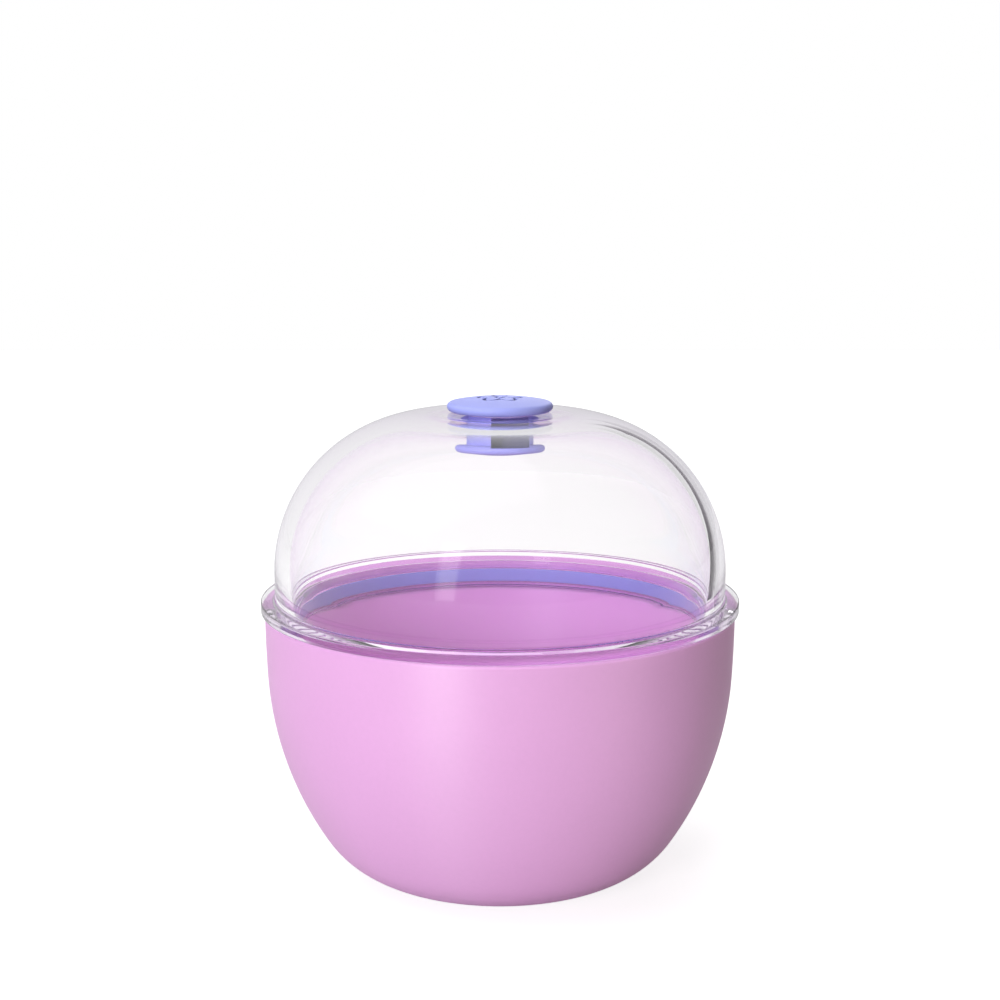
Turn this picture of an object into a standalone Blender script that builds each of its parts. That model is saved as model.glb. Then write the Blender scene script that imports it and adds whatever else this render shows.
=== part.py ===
"""A small lidded salon dish: a moulded bowl, a clear dome lid with its gasket, and a vent plug.

The bowl's wall is one even shell that follows three tangent arcs from the rim to the foot. The
lid hangs its skirt inside the bowl's bore, where a silicone gasket in the skirt's groove seals
it, and rests its flange on the rim. The plug is a silicone spool in the dome's top: its cap
closes the hole, its retaining flange stops it from coming out, and the notch in its stem lets
air through once the plug is pulled up.

Run it with: blender --background --python part.py
"""

import math

import bmesh
import bpy

MM = 0.001

# How finely curves are divided.
TURN_STEPS = 60
PLUG_TURN_STEPS = 40
CHORD_ERROR = 0.04 * MM
SHARP_ANGLE = math.radians(35.0)

QUARTER = math.radians(90.0)

# Bowl, measured from the surface it stands on.
BOWL_HEIGHT = 40.9 * MM
BOWL_RIM_RADIUS = 35.4 * MM
BOWL_WALL = 3.0 * MM
FOOT_RADIUS = 15.0 * MM
FOOT_RING_WIDTH = 3.6 * MM
FOOT_RECESS = 0.6 * MM
RIM_WALL = 2.0 * MM
RIM_OUTER_ROUND = 0.6 * MM
RIM_INNER_ROUND = 0.5 * MM
LEDGE_ROUND = 0.8 * MM
FLARE_RADIUS = 183.0 * MM
FLARE_TURN = math.radians(3.0)
BELLY_TURN = math.radians(30.3)

# Dome lid, measured from the plane of the bowl's rim.
LID_SEAT_GAP = 0.25 * MM
FLANGE_OVERHANG = 0.6 * MM
FLANGE_THICKNESS = 1.5 * MM
FLANGE_WIDTH = 2.1 * MM
FLANGE_FILLET = 0.4 * MM
DOME_WALL = 2.3 * MM
DOME_RISE = 29.65 * MM
DOME_STRAIGHT_TOP = 6.0 * MM
DOME_SHOULDER_TURN = math.radians(65.0)
LAND_MARGIN = 1.3 * MM
BOSS_WIDTH = 3.3 * MM
BOSS_DEPTH = 1.0 * MM
BOSS_ROUND = 0.3 * MM
SKIRT_CLEARANCE = 0.45 * MM
SKIRT_WALL = 2.0 * MM
SKIRT_SHOULDER = 0.85 * MM
SKIRT_LIP = 0.55 * MM
SKIRT_CHAMFER = 0.25 * MM
LEDGE_CLEARANCE = 0.5 * MM

# Gasket, in the skirt's groove.
GASKET_HEIGHT = 2.2 * MM
GASKET_BORE_GAP = 0.2 * MM
GASKET_SEAT_GAP = 0.15 * MM
GASKET_ROUND = 0.3 * MM
GROOVE_DEPTH = 0.85 * MM

# Vent plug, measured from the dome's flat top.
PLUG_SEAT_GAP = 0.2 * MM
PLUG_TRAVEL = 1.6 * MM
PLUG_STOP_GAP = 0.25 * MM
CAP_RADIUS = 7.9 * MM
CAP_EDGE = 1.35 * MM
CAP_CROWN = 0.7 * MM
STEM_RADIUS = 4.95 * MM
STEM_CLEARANCE = 0.35 * MM
STEM_FILLET = 0.35 * MM
RETAINER_OVERLAP = 1.35 * MM
RETAINER_THICKNESS = 1.3 * MM
RETAINER_BULGE = 0.4 * MM
NOTCH_LEFT = 1.3 * MM
NOTCH_RIGHT = 4.4 * MM
NOTCH_BACK = 2.3 * MM
NOTCH_ROOF = 0.6 * MM
NOTCH_FLOOR_DEPTH = 0.35 * MM

# Fits between the pieces, each from the sizes and clearances above.
BORE_RADIUS = BOWL_RIM_RADIUS - RIM_WALL
FLANGE_RADIUS = BOWL_RIM_RADIUS + FLANGE_OVERHANG
FLANGE_TOP = LID_SEAT_GAP + FLANGE_THICKNESS
DOME_RADIUS = FLANGE_RADIUS - FLANGE_WIDTH
SKIRT_RADIUS = BORE_RADIUS - SKIRT_CLEARANCE
SKIRT_INNER_RADIUS = SKIRT_RADIUS - SKIRT_WALL
GROOVE_RADIUS = SKIRT_RADIUS - GROOVE_DEPTH
GROOVE_TOP = -SKIRT_SHOULDER
GROOVE_BOTTOM = GROOVE_TOP - GASKET_HEIGHT - 2 * GASKET_SEAT_GAP
SKIRT_BOTTOM = GROOVE_BOTTOM - SKIRT_LIP
LEDGE_DEPTH = LEDGE_CLEARANCE - SKIRT_BOTTOM
HOLE_RADIUS = STEM_RADIUS + STEM_CLEARANCE
BOSS_RADIUS = HOLE_RADIUS + BOSS_WIDTH
LAND_RADIUS = max(CAP_RADIUS, BOSS_RADIUS) + LAND_MARGIN
STEM_LENGTH = PLUG_SEAT_GAP + DOME_WALL + BOSS_DEPTH + PLUG_TRAVEL + PLUG_STOP_GAP
RETAINER_RADIUS = HOLE_RADIUS + RETAINER_OVERLAP

# Colours are linear RGB.
PINK = (0.80, 0.44, 0.76)
LAVENDER = (0.36, 0.37, 0.80)
CLEAR = (0.96, 0.97, 0.98)


def arc_pair(start, middle, end, along, across):
    """Radii of two tangent arcs that turn from start to middle to end.

    Angles are from the axis direction, along is how far the pair runs down the axis and across
    is how far it comes in towards it.
    """
    first_along = math.sin(middle) - math.sin(start)
    second_along = math.sin(end) - math.sin(middle)
    first_across = math.cos(start) - math.cos(middle)
    second_across = math.cos(middle) - math.cos(end)
    scale = first_along * second_across - second_along * first_across
    first = (along * second_across - across * second_along) / scale
    second = (across * first_along - along * first_across) / scale
    return first, second


def arc(centre, radius, start, end):
    """Points (r, z) on an arc, angles in radians from the +r direction, both ends included."""
    widest_step = 2 * math.acos(1.0 - CHORD_ERROR / radius)
    count = max(2, math.ceil(abs(end - start) / widest_step))
    angles = [start + (end - start) * step / count for step in range(count + 1)]
    return [(centre[0] + radius * math.cos(a), centre[1] + radius * math.sin(a)) for a in angles]


def round_edge(centre, radius, start=QUARTER):
    """Points (r, z) around the round outer edge of a flange, from start down to its underside."""
    return arc(centre, radius, start, 0.0) + arc(centre, radius, 0.0, -QUARTER)


def wall_outline(start, arcs, inset, trim):
    """Points of a shell wall that starts along the axis and turns inwards over tangent arcs.

    start is the (r, z) where the first arc begins, each arc is (radius, turn) with a negative
    turn for a wall that runs down, inset moves the outline inwards by an even wall, and trim
    leaves out that much height at the start of the first arc.
    """
    points = []
    r, z = start
    angle = 0.0
    for radius, turn in arcs:
        centre = (r - radius * math.cos(angle), z - radius * math.sin(angle))
        first = angle
        if not points:
            first = math.copysign(math.asin(trim / (radius - inset)), turn)
        points += arc(centre, radius - inset, first, angle + turn)
        angle += turn
        r, z = centre[0] + radius * math.cos(angle), centre[1] + radius * math.sin(angle)
    return points


def without_repeats(points):
    kept = []
    for point in points:
        if not kept or math.dist(kept[-1], point) > 0.001 * MM:
            kept.append(point)
    return kept


def turned(name, profile, material, closed=False, steps=TURN_STEPS):
    """A body of revolution about Z. profile is (r, z) points, down the outer side."""
    bm = bmesh.new()
    verts = [bm.verts.new((r, 0.0, z)) for r, z in without_repeats(profile)]
    edges = [bm.edges.new(pair) for pair in zip(verts, verts[1:])]
    if closed:
        edges.append(bm.edges.new((verts[-1], verts[0])))
    bmesh.ops.spin(
        bm,
        geom=verts + edges,
        cent=(0.0, 0.0, 0.0),
        axis=(0.0, 0.0, 1.0),
        angle=math.tau,
        steps=steps,
        use_merge=True,
    )
    bmesh.ops.remove_doubles(bm, verts=bm.verts, dist=0.001 * MM)
    bmesh.ops.recalc_face_normals(bm, faces=bm.faces)
    mesh = bpy.data.meshes.new(name)
    bm.to_mesh(mesh)
    bm.free()
    mesh.shade_smooth()
    mesh.set_sharp_from_angle(angle=SHARP_ANGLE)
    mesh.materials.append(material)
    obj = bpy.data.objects.new(name, mesh)
    bpy.context.collection.objects.link(obj)
    return obj


def plastic(name, colour, roughness, alpha=1.0, transmission=0.0):
    material = bpy.data.materials.new(name)
    material.use_nodes = True
    shader = material.node_tree.nodes["Principled BSDF"]
    shader.inputs["Base Color"].default_value = (*colour, 1.0)
    shader.inputs["Metallic"].default_value = 0.0
    shader.inputs["Roughness"].default_value = roughness
    shader.inputs["Alpha"].default_value = alpha
    shader.inputs["Transmission Weight"].default_value = transmission
    material.diffuse_color = (*colour, alpha)
    return material


def make_bowl():
    """The moulded bowl: an even wall, a thinner rim over a ledge, and a shallow ringed foot."""
    heel_start = FLARE_TURN + BELLY_TURN
    belly, heel = arc_pair(
        FLARE_TURN,
        heel_start,
        QUARTER,
        BOWL_HEIGHT - FLARE_RADIUS * math.sin(FLARE_TURN),
        BOWL_RIM_RADIUS - FOOT_RADIUS - FLARE_RADIUS * (1.0 - math.cos(FLARE_TURN)),
    )
    arcs = [(FLARE_RADIUS, -FLARE_TURN), (belly, -BELLY_TURN), (heel, heel_start - QUARTER)]
    rim = (BOWL_RIM_RADIUS, BOWL_HEIGHT)
    ledge = BOWL_HEIGHT - LEDGE_DEPTH
    outside = wall_outline(rim, arcs, 0.0, RIM_OUTER_ROUND)
    inside = wall_outline(rim, arcs, BOWL_WALL, LEDGE_DEPTH + LEDGE_ROUND)
    ledge_radius = inside[0][0]
    recess_radius = FOOT_RADIUS - FOOT_RING_WIDTH

    profile = [(0.0, inside[-1][1])]
    profile += inside[::-1]
    profile += arc((ledge_radius + LEDGE_ROUND, ledge - LEDGE_ROUND), LEDGE_ROUND, math.pi, QUARTER)
    profile += [(BORE_RADIUS, ledge)]
    profile += arc(
        (BORE_RADIUS + RIM_INNER_ROUND, BOWL_HEIGHT - RIM_INNER_ROUND),
        RIM_INNER_ROUND,
        math.pi,
        QUARTER,
    )
    profile += arc(
        (outside[0][0] - RIM_OUTER_ROUND, BOWL_HEIGHT - RIM_OUTER_ROUND),
        RIM_OUTER_ROUND,
        QUARTER,
        0.0,
    )
    profile += outside
    profile += [
        (recess_radius, 0.0),
        (recess_radius - FOOT_RECESS, FOOT_RECESS),
        (0.0, FOOT_RECESS),
    ]
    return turned("bowl", profile, plastic("bowl_pink", PINK, 0.45))


def dome_outline(inset):
    """The dome's wall from its straight part up to the flat top, moved in by inset."""
    shoulder, crown = arc_pair(
        0.0,
        DOME_SHOULDER_TURN,
        QUARTER,
        DOME_RISE - DOME_STRAIGHT_TOP,
        DOME_RADIUS - LAND_RADIUS,
    )
    arcs = [(shoulder, DOME_SHOULDER_TURN), (crown, QUARTER - DOME_SHOULDER_TURN)]
    return wall_outline((DOME_RADIUS, DOME_STRAIGHT_TOP), arcs, inset, 0.0)


def make_dome_lid():
    """The clear lid: dome, rim flange, grooved skirt, and the boss that guides the vent plug."""
    edge = FLANGE_THICKNESS / 2
    boss_bottom = DOME_RISE - DOME_WALL - BOSS_DEPTH

    profile = [(HOLE_RADIUS, DOME_RISE)]
    profile += dome_outline(0.0)[::-1]
    profile += arc(
        (DOME_RADIUS + FLANGE_FILLET, FLANGE_TOP + FLANGE_FILLET),
        FLANGE_FILLET,
        math.pi,
        math.pi + QUARTER,
    )
    profile += round_edge((FLANGE_RADIUS - edge, LID_SEAT_GAP + edge), edge)
    profile += [
        (SKIRT_RADIUS, LID_SEAT_GAP),
        (SKIRT_RADIUS, GROOVE_TOP),
        (GROOVE_RADIUS, GROOVE_TOP),
        (GROOVE_RADIUS, GROOVE_BOTTOM),
        (SKIRT_RADIUS, GROOVE_BOTTOM),
        (SKIRT_RADIUS, SKIRT_BOTTOM + SKIRT_CHAMFER),
        (SKIRT_RADIUS - SKIRT_CHAMFER, SKIRT_BOTTOM),
        (SKIRT_INNER_RADIUS + SKIRT_CHAMFER, SKIRT_BOTTOM),
        (SKIRT_INNER_RADIUS, SKIRT_BOTTOM + SKIRT_CHAMFER),
        (SKIRT_INNER_RADIUS, LID_SEAT_GAP),
        (DOME_RADIUS - DOME_WALL, FLANGE_TOP),
    ]
    profile += dome_outline(DOME_WALL)
    profile += [(BOSS_RADIUS, DOME_RISE - DOME_WALL)]
    profile += arc(
        (BOSS_RADIUS - BOSS_ROUND, boss_bottom + BOSS_ROUND), BOSS_ROUND, 0.0, -QUARTER
    )
    profile += [(HOLE_RADIUS, boss_bottom)]
    material = plastic("dome_clear", CLEAR, 0.03, alpha=0.3, transmission=1.0)
    dome = turned("dome_lid", profile, material, closed=True)
    dome.location = (0.0, 0.0, BOWL_HEIGHT)
    return dome


def make_gasket(dome):
    """The silicone ring in the skirt's groove, standing proud of it towards the bowl's bore."""
    inner = GROOVE_RADIUS + GASKET_SEAT_GAP
    outer = BORE_RADIUS - GASKET_BORE_GAP
    top = GROOVE_TOP - GASKET_SEAT_GAP
    bottom = top - GASKET_HEIGHT
    profile = [(inner, top)]
    profile += arc((outer - GASKET_ROUND, top - GASKET_ROUND), GASKET_ROUND, QUARTER, 0.0)
    profile += arc((outer - GASKET_ROUND, bottom + GASKET_ROUND), GASKET_ROUND, 0.0, -QUARTER)
    profile += [(inner, bottom)]
    gasket = turned("lid_gasket", profile, plastic("gasket_lavender", LAVENDER, 0.5), closed=True)
    gasket.parent = dome
    return gasket


def cap_profile():
    """The cap's low crown, tangent to its round edge, down to its flat underside."""
    edge = CAP_EDGE / 2
    edge_centre = (CAP_RADIUS - edge, PLUG_SEAT_GAP + edge)
    rise = edge + CAP_CROWN
    crown_radius = (edge_centre[0] ** 2 + rise**2 - edge**2) / (2 * CAP_CROWN)
    crown_centre = (0.0, edge_centre[1] + rise - crown_radius)
    meeting = QUARTER - math.asin(edge_centre[0] / (crown_radius - edge))
    profile = arc(crown_centre, crown_radius, QUARTER, meeting)
    return profile + round_edge(edge_centre, edge, meeting)


def make_vent_plug(dome):
    """The silicone spool: cap, stem through the dome's hole, retaining flange and vent notch."""
    fillet_centre = STEM_RADIUS + STEM_FILLET
    retainer_top = PLUG_SEAT_GAP - STEM_LENGTH
    edge = RETAINER_THICKNESS / 2
    profile = cap_profile()
    profile += arc(
        (fillet_centre, PLUG_SEAT_GAP - STEM_FILLET), STEM_FILLET, QUARTER, 2 * QUARTER
    )
    profile += [(STEM_RADIUS, retainer_top)]
    profile += round_edge((RETAINER_RADIUS - edge, retainer_top - edge), edge)
    profile += [
        (STEM_RADIUS / 2, retainer_top - RETAINER_THICKNESS - RETAINER_BULGE),
        (0.0, retainer_top - RETAINER_THICKNESS - RETAINER_BULGE),
    ]
    material = plastic("plug_lavender", LAVENDER, 0.5)
    plug = turned("vent_plug", profile, material, steps=PLUG_TURN_STEPS)
    plug.parent = dome
    plug.location = (0.0, 0.0, DOME_RISE)

    notch_top = PLUG_SEAT_GAP - NOTCH_ROOF
    notch_bottom = retainer_top - NOTCH_FLOOR_DEPTH
    front = -RETAINER_RADIUS - 1.0 * MM
    cutter = box_cutter(
        "notch_cutter",
        (-NOTCH_LEFT, front, notch_bottom),
        (NOTCH_RIGHT, -NOTCH_BACK, notch_top),
    )
    cutter.parent = plug
    cut = plug.modifiers.new("vent_notch", "BOOLEAN")
    cut.operation = "DIFFERENCE"
    cut.object = cutter
    return plug


def box_cutter(name, low, high):
    """A hidden box between two corners, for a Boolean."""
    bm = bmesh.new()
    bmesh.ops.create_cube(bm, size=1.0)
    for vert in bm.verts:
        for axis in range(3):
            vert.co[axis] = high[axis] if vert.co[axis] > 0 else low[axis]
    mesh = bpy.data.meshes.new(name)
    bm.to_mesh(mesh)
    bm.free()
    cutter = bpy.data.objects.new(name, mesh)
    cutter.hide_render = True
    cutter.display_type = "WIRE"
    bpy.context.collection.objects.link(cutter)
    return cutter


def main():
    for obj in list(bpy.data.objects):
        bpy.data.objects.remove(obj, do_unlink=True)
    make_bowl()
    dome = make_dome_lid()
    make_gasket(dome)
    make_vent_plug(dome)


main()
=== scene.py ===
"""Looks of the lidded salon dish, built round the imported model.

The dish is four pieces: a satin moulded bowl, a clear dome lid, the soft gasket in the lid's
skirt and the soft vent plug in the dome's top. Each is turned from its own outline, worked out
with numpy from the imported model's boxes and from named wall sizes, and carries its own finish.
"""

import logging
import math
from collections.abc import Sequence
from dataclasses import dataclass, field
from enum import Enum

import bmesh
import bpy
import numpy as np
from bpy.types import Material, Mesh, Node, NodeSocket, NodeTree, Object, ShaderNodeTree
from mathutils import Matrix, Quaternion, Vector

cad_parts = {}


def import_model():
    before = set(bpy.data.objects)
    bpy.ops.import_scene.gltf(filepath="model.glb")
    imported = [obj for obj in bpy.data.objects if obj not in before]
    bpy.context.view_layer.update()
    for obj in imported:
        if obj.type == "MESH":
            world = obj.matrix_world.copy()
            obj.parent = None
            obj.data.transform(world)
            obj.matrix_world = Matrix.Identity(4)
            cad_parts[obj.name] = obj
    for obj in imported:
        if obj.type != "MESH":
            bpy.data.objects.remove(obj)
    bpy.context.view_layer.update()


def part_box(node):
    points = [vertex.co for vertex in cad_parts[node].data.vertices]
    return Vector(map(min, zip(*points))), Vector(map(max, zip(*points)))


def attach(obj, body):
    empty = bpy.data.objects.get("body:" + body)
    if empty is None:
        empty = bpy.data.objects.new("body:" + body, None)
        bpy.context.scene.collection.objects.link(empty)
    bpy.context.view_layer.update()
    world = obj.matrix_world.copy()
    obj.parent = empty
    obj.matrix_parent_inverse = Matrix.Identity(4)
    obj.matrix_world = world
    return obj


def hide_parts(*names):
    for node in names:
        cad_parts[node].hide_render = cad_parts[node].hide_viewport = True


LOG = logging.getLogger("lidded_dish")
MM = 0.001
QUARTER = math.pi / 2
SAME_POINT = 0.0005 * MM
WELD_REACH = 0.0004 * MM
SHORTEST_EDGE = 0.0002 * MM
SLACK = 0.01 * MM
SHARP_ANGLE = math.radians(40.0)
LONGEST_REACH = 0.49
MIX_SOCKETS = {"FLOAT": (2, 3, 0), "RGBA": (6, 7, 2)}

Colour = tuple[float, float, float]
Value = NodeSocket | float | Colour
Corner = tuple[float, float, float]


# Outlines and surfaces


def arc(centre: tuple[float, float], radius: float, start: float, end: float, steps: int) -> np.ndarray:
    """Points on a circle: the centre plus the radius times the cosine and sine of each angle.

    Args:
        centre: the circle's centre as (r, z), in metres.
        radius: the circle's radius, in metres.
        start: first angle, in radians from the +r direction.
        end: last angle.
        steps: how many chords the arc has.

    Returns:
        An array of steps + 1 points (r, z).
    """
    angles = np.linspace(start, end, steps + 1)
    return np.column_stack((centre[0] + radius * np.cos(angles), centre[1] + radius * np.sin(angles)))


def arc_pair(span: tuple[float, float, float], along: float, across: float) -> tuple[float, float]:
    """Radii of two tangent arcs that together cover a given height and depth.

    An arc of radius R that turns from angle a to b runs R (sin b - sin a) along the axis and
    R (cos a - cos b) across it, so the two radii solve two linear equations.

    Args:
        span: the angles at the start, the meeting point and the end.
        along: how far the pair runs along the axis.
        across: how far it comes in towards the axis.

    Returns:
        The radii of the first and the second arc.
    """
    start, middle, end = span
    turns = np.array(
        [
            [math.sin(middle) - math.sin(start), math.sin(end) - math.sin(middle)],
            [math.cos(start) - math.cos(middle), math.cos(middle) - math.cos(end)],
        ]
    )
    first, second = np.linalg.solve(turns, np.array([along, across]))
    return float(first), float(second)


def rounded_outline(stretches: Sequence[np.ndarray | list[Corner]], steps: int = 6) -> np.ndarray:
    """A half section made of curves and corners, with its corners rounded.

    Args:
        stretches: in order, curves as points (r, z), and corners as rows (r, z, fillet). An
            outline that is open has no fillet at its ends.
        steps: chords in each fillet.

    Returns:
        An array of points (r, z) with no repeats.
    """
    rows = np.concatenate([np.pad(part, ((0, 0), (0, 3 - np.shape(part)[1]))) for part in stretches])
    points, fillets = rows[:, :2], rows[:, 2]
    at, plain = np.flatnonzero(fillets), np.flatnonzero(fillets == 0.0)
    before, after = points[at - 1], points[(at + 1) % len(points)]
    arcs = corner_arcs(points[at], before, after, fillets[at, None], steps)
    order = np.argsort(np.concatenate((plain, np.repeat(at, steps + 1))), kind="stable")
    outline = np.concatenate((points[plain], arcs.reshape(-1, 2)))[order]
    keep = np.ones(len(outline), bool)
    keep[1:] = np.linalg.norm(np.diff(outline, axis=0), axis=1) > SAME_POINT
    return outline[keep]


def corner_arcs(
    corners: np.ndarray, before: np.ndarray, after: np.ndarray, fillets: np.ndarray, steps: int
) -> np.ndarray:
    """Arcs that round corners, tangent to both sides of each.

    A fillet of radius f in a corner whose sides meet at angle t starts f / tan(t / 2) from the
    corner, but within LONGEST_REACH of the shorter side, and its centre lies f from both sides.

    Args:
        corners: points (r, z).
        before: the point before each corner.
        after: the point after each corner.
        fillets: the arcs' radii, as a column.
        steps: chords in each arc.

    Returns:
        An array of shape (corners, steps + 1, 2), from the side before to the side after.
    """
    back, ahead = before - corners, after - corners
    back_length, ahead_length = (np.linalg.norm(side, axis=1, keepdims=True) for side in (back, ahead))
    back, ahead = back / back_length, ahead / ahead_length
    half = np.arccos(np.clip(np.sum(back * ahead, axis=1, keepdims=True), -1.0, 1.0)) / 2
    reach = np.minimum(fillets / np.tan(half), LONGEST_REACH * np.minimum(back_length, ahead_length))
    radius = reach * np.tan(half)
    bisector = (back + ahead) / np.linalg.norm(back + ahead, axis=1, keepdims=True)
    centre = corners + bisector * np.hypot(reach, radius)
    start, end = corners + back * reach - centre, corners + ahead * reach - centre
    first = np.arctan2(start[:, 1:], start[:, :1])
    turn = (np.arctan2(end[:, 1:], end[:, :1]) - first + math.pi) % math.tau - math.pi
    angle = first + turn * np.linspace(0.0, 1.0, steps + 1)
    return centre[:, None, :] + radius[:, :, None] * np.stack((np.cos(angle), np.sin(angle)), axis=2)


def full_circle(around: int) -> np.ndarray:
    """Angles of the columns of a piece that is round all the way."""
    return np.linspace(0.0, math.tau, around, endpoint=False)


def turned(outline: np.ndarray, angle: np.ndarray) -> np.ndarray:
    """An outline carried round the axis.

    The point on row i at angle a is (r_i sin a, -r_i cos a, z_i), with a from the front, -Y,
    towards +X.

    Args:
        outline: points (r, z), one for each row.
        angle: the columns' angles, for all rows alike or row by row.

    Returns:
        An array of shape (rows, columns, 3).
    """
    r, z = outline[:, :1], outline[:, 1:]
    x, y = r * np.sin(angle), -r * np.cos(angle)
    return np.stack((x, y, np.broadcast_to(z, x.shape)), axis=2)


def grid_faces(rows: int, columns: int, closed: bool) -> np.ndarray:
    """Quads of a grid whose columns wrap round, row by row.

    Args:
        rows: rows of points.
        columns: points in a row.
        closed: whether the last row joins the first.

    Returns:
        An array of shape (faces, 4) of point indices.
    """
    row = np.arange(rows if closed else rows - 1)[:, None]
    column = np.arange(columns)[None, :]
    below = (row + 1) % rows
    ahead = (column + 1) % columns
    here, next_here = row * columns + column, row * columns + ahead
    there, next_there = below * columns + column, below * columns + ahead
    return np.stack((here, there, next_there, next_here), axis=2).reshape(-1, 4)


def added(name: str, data: bpy.types.ID) -> Object:
    """A new object in the scene.

    Args:
        name: the object's name.
        data: its mesh, lamp or camera.

    Returns:
        The object.
    """
    obj = bpy.data.objects.new(name, data)
    bpy.context.scene.collection.objects.link(obj)
    return obj


def piece_from_grid(name: str, grid: np.ndarray, closed: bool) -> Object:
    """A smooth mesh object from a wrapped grid, its poles and repeated points merged.

    Args:
        name: the object's name.
        grid: points of shape (rows, columns, 3), rows running down the outside.
        closed: whether the last row joins the first, as round a ring.

    Returns:
        The new object, with its faces outwards.
    """
    rows, columns, _ = grid.shape
    mesh = bpy.data.meshes.new(name)
    mesh.from_pydata(grid.reshape(-1, 3), [], grid_faces(rows, columns, closed))
    weld(mesh)
    mesh.shade_smooth()
    mesh.set_sharp_from_angle(angle=SHARP_ANGLE)
    return added(name, mesh)


def weld(mesh: Mesh) -> None:
    """Merges points that coincide and turns all faces outwards.

    Args:
        mesh: the mesh, which is changed in place.
    """
    bm = bmesh.new()
    bm.from_mesh(mesh)
    bmesh.ops.remove_doubles(bm, verts=bm.verts, dist=WELD_REACH)
    bmesh.ops.dissolve_degenerate(bm, edges=bm.edges, dist=SHORTEST_EDGE)
    bmesh.ops.recalc_face_normals(bm, faces=bm.faces)
    bm.to_mesh(mesh)
    bm.free()
    mesh.update()


# Finishes


def new_material(name: str) -> tuple[Material, Node]:
    """A fresh node material.

    Args:
        name: the material's name.

    Returns:
        The material and its Principled shader.
    """
    material = bpy.data.materials.new(name)
    material.use_nodes = True
    return material, material.node_tree.nodes["Principled BSDF"]


def fill(tree: NodeTree, node: Node, inputs: dict[str | int, Value]) -> None:
    """Sets a node's inputs, or links them to what feeds them.

    Args:
        tree: the tree that holds the node.
        node: the node.
        inputs: a socket, a number or a colour for each input, by its name or its place.
    """
    for key, value in inputs.items():
        if isinstance(value, NodeSocket):
            tree.links.new(value, node.inputs[key])
        else:
            node.inputs[key].default_value = (*value, 1.0) if isinstance(value, tuple) else value


def new_node(tree: NodeTree, kind: str, inputs: dict[str | int, Value], **settings: str | NodeTree) -> Node:
    """A new shader node.

    Args:
        tree: the tree that gets the node.
        kind: the node's type, without the ShaderNode that it begins with.
        inputs: a socket, a number or a colour for each input, by its name or its place.
        settings: the node's own properties, by name.

    Returns:
        The node.
    """
    node = tree.nodes.new(f"ShaderNode{kind}")
    for name, value in settings.items():
        setattr(node, name, value)
    fill(tree, node, inputs)
    return node


def noise(
    tree: NodeTree, vector: NodeSocket, scale: Value, detail: float, roughness: float = 0.5
) -> NodeSocket:
    """A noise from 0 to 1, read at a vector, with scale lumps in a metre."""
    inputs = {"Vector": vector, "Scale": scale, "Detail": detail, "Roughness": roughness}
    return new_node(tree, "TexNoise", inputs).outputs["Fac"]


def math_node(tree: NodeTree, operation: str, *values: Value) -> NodeSocket:
    """The result of one math operation on sockets and numbers."""
    return new_node(tree, "Math", dict(enumerate(values)), operation=operation).outputs["Value"]


def at_least(tree: NodeTree, count: NodeSocket, least: int) -> NodeSocket:
    """A mask that is 1 where a whole number is the least or more, and 0 elsewhere."""
    return math_node(tree, "GREATER_THAN", count, least - 0.5)


def mixed(tree: NodeTree, share: NodeSocket, first: Value, second: Value) -> NodeSocket:
    """The first value where share is 0, and the second where it is 1.

    Args:
        tree: the tree that gets the node.
        share: how much of the second value there is.
        first: a socket, a number or a colour.
        second: the same. If it is a colour, colours are mixed.

    Returns:
        The socket that carries the mixture.
    """
    kind = "RGBA" if isinstance(second, tuple) else "FLOAT"
    first_input, second_input, result = MIX_SOCKETS[kind]
    inputs = {0: share, first_input: first, second_input: second}
    return new_node(tree, "Mix", inputs, data_type=kind).outputs[result]


def bumped(tree: NodeTree, height: NodeSocket, depth: float) -> NodeSocket:
    """The normal of a surface with a relief, from its height, 0 to 1, and its depth in metres."""
    return new_node(tree, "Bump", {"Strength": 1.0, "Distance": depth, "Height": height}).outputs["Normal"]


def brightened(tree: NodeTree, colour: NodeSocket, value: NodeSocket) -> NodeSocket:
    """The colour, value times as bright."""
    return new_node(tree, "HueSaturation", {"Color": colour, "Value": value}).outputs["Color"]


def new_group(name: str, inputs: dict[str, str], outputs: dict[str, str]) -> ShaderNodeTree:
    """An empty shader group with named sockets.

    Args:
        name: the group's name.
        inputs: each input's name and socket type.
        outputs: each output's name and socket type.

    Returns:
        The group, holding its input and output nodes.
    """
    group = bpy.data.node_groups.new(name, "ShaderNodeTree")
    for label, kind in inputs.items():
        group.interface.new_socket(name=label, in_out="INPUT", socket_type=kind)
    for label, kind in outputs.items():
        group.interface.new_socket(name=label, in_out="OUTPUT", socket_type=kind)
    group.nodes.new("NodeGroupInput")
    group.nodes.new("NodeGroupOutput")
    return group


def mould_grain_group() -> ShaderNodeTree:
    """The fine spark-eroded grain that a mould leaves, built once.

    Small rounded pits come from a noise at the grain's size, and a finer noise breaks them up.

    Returns:
        The group. Its Height is the grain's relief, and its Wear is a slow drift of where
        handling has smoothed the grain.
    """
    name = "mould_grain"
    if name in bpy.data.node_groups:
        return bpy.data.node_groups[name]
    fine_ratio, fine_share, wear_scale = 2.7, 0.35, 55.0
    group = new_group(
        name,
        {"Vector": "NodeSocketVector", "Grains per metre": "NodeSocketFloat"},
        {"Height": "NodeSocketFloat", "Wear": "NodeSocketFloat"},
    )
    inside = group.nodes["Group Input"].outputs
    vector, grains = inside["Vector"], inside["Grains per metre"]
    pits = noise(group, vector, grains, detail=2.0, roughness=0.6)
    fine = noise(group, vector, math_node(group, "MULTIPLY", grains, fine_ratio), detail=1.0)
    height = math_node(group, "MULTIPLY_ADD", fine, fine_share, pits)
    wear = noise(group, vector, wear_scale, detail=3.0, roughness=0.6)
    fill(group, group.nodes["Group Output"], {"Height": height, "Wear": wear})
    return group


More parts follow.
